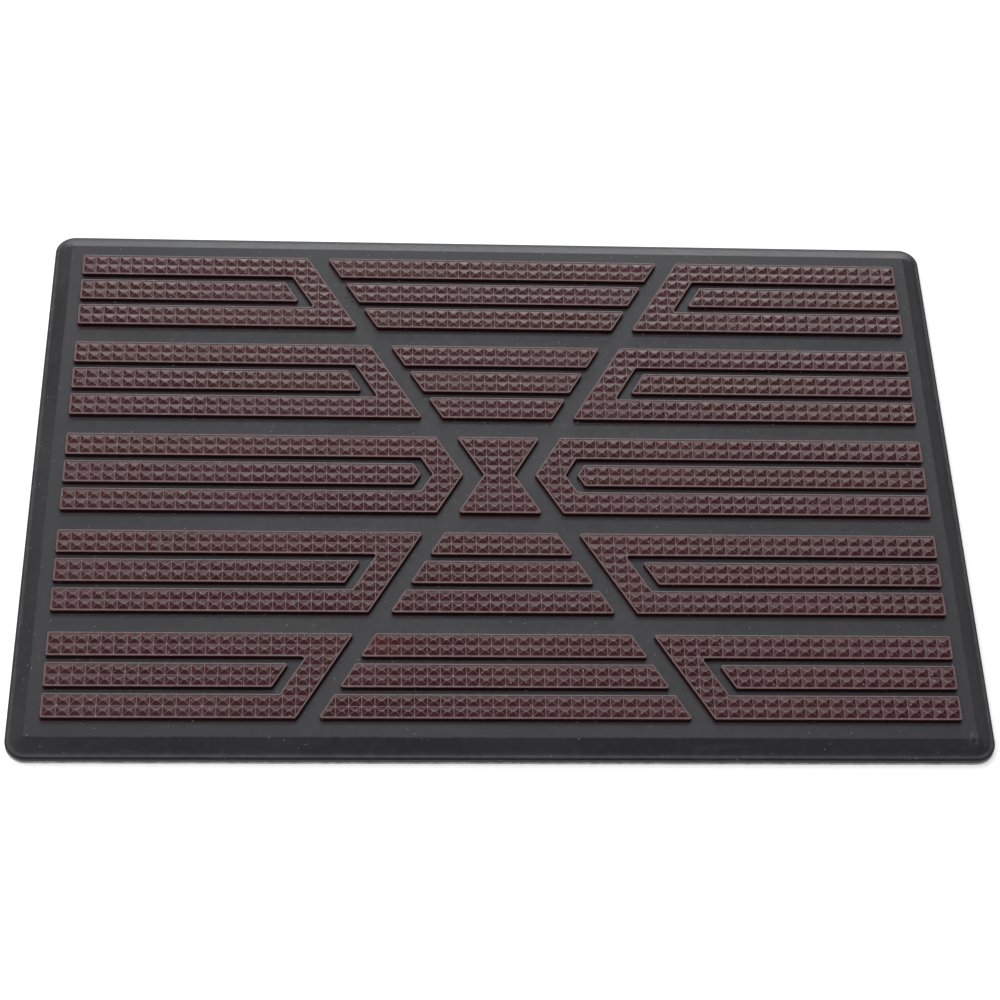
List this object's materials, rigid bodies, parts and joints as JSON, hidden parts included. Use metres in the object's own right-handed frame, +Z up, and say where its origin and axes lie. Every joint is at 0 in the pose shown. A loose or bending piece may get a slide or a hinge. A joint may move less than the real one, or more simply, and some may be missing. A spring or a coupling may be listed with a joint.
{
  "type": "door mat",
  "caption": "Rectangular moulded rubber door mat: a black base sheet with a bevelled border, and raised brown scraper treads in rows of bars and brackets around a large X.",
  "frame": {"origin": "middle of the underside, on the floor", "axes": "+X along the mat's length, +Y towards its back edge, +Z up out of the treads"},
  "size_m": [0.6, 0.4, 0.0159],
  "materials": {
    "black_rubber": "satin moulded rubber",
    "brown_rubber": "satin moulded rubber with small raised points"
  },
  "bodies": {
    "root": {"base_sheet": "black_rubber", "row1_left_bracket_tread": "brown_rubber", "row1_left_bar_tread": "brown_rubber", "row1_centre_back_tread": "brown_rubber", "row1_centre_middle_tread": "brown_rubber", "row1_centre_front_tread": "brown_rubber", "row1_right_bar_tread": "brown_rubber", "row1_right_bracket_tread": "brown_rubber", "row2_left_bracket_tread": "brown_rubber", "row2_left_bar_tread": "brown_rubber", "row2_centre_back_tread": "brown_rubber", "row2_centre_middle_tread": "brown_rubber", "row2_centre_front_tread": "brown_rubber", "row2_right_bar_tread": "brown_rubber", "row2_right_bracket_tread": "brown_rubber", "row3_left_bracket_tread": "brown_rubber", "row3_left_bar_tread": "brown_rubber", "row3_waisted_tread": "brown_rubber", "row3_right_bar_tread": "brown_rubber", "row3_right_bracket_tread": "brown_rubber", "row4_left_bracket_tread": "brown_rubber", "row4_left_bar_tread": "brown_rubber", "row4_centre_back_tread": "brown_rubber", "row4_centre_middle_tread": "brown_rubber", "row4_centre_front_tread": "brown_rubber", "row4_right_bar_tread": "brown_rubber", "row4_right_bracket_tread": "brown_rubber", "row5_left_bracket_tread": "brown_rubber", "row5_left_bar_tread": "brown_rubber", "row5_centre_back_tread": "brown_rubber", "row5_centre_middle_tread": "brown_rubber", "row5_centre_front_tread": "brown_rubber", "row5_right_bar_tread": "brown_rubber", "row5_right_bracket_tread": "brown_rubber"}
  },
  "joints": []
}
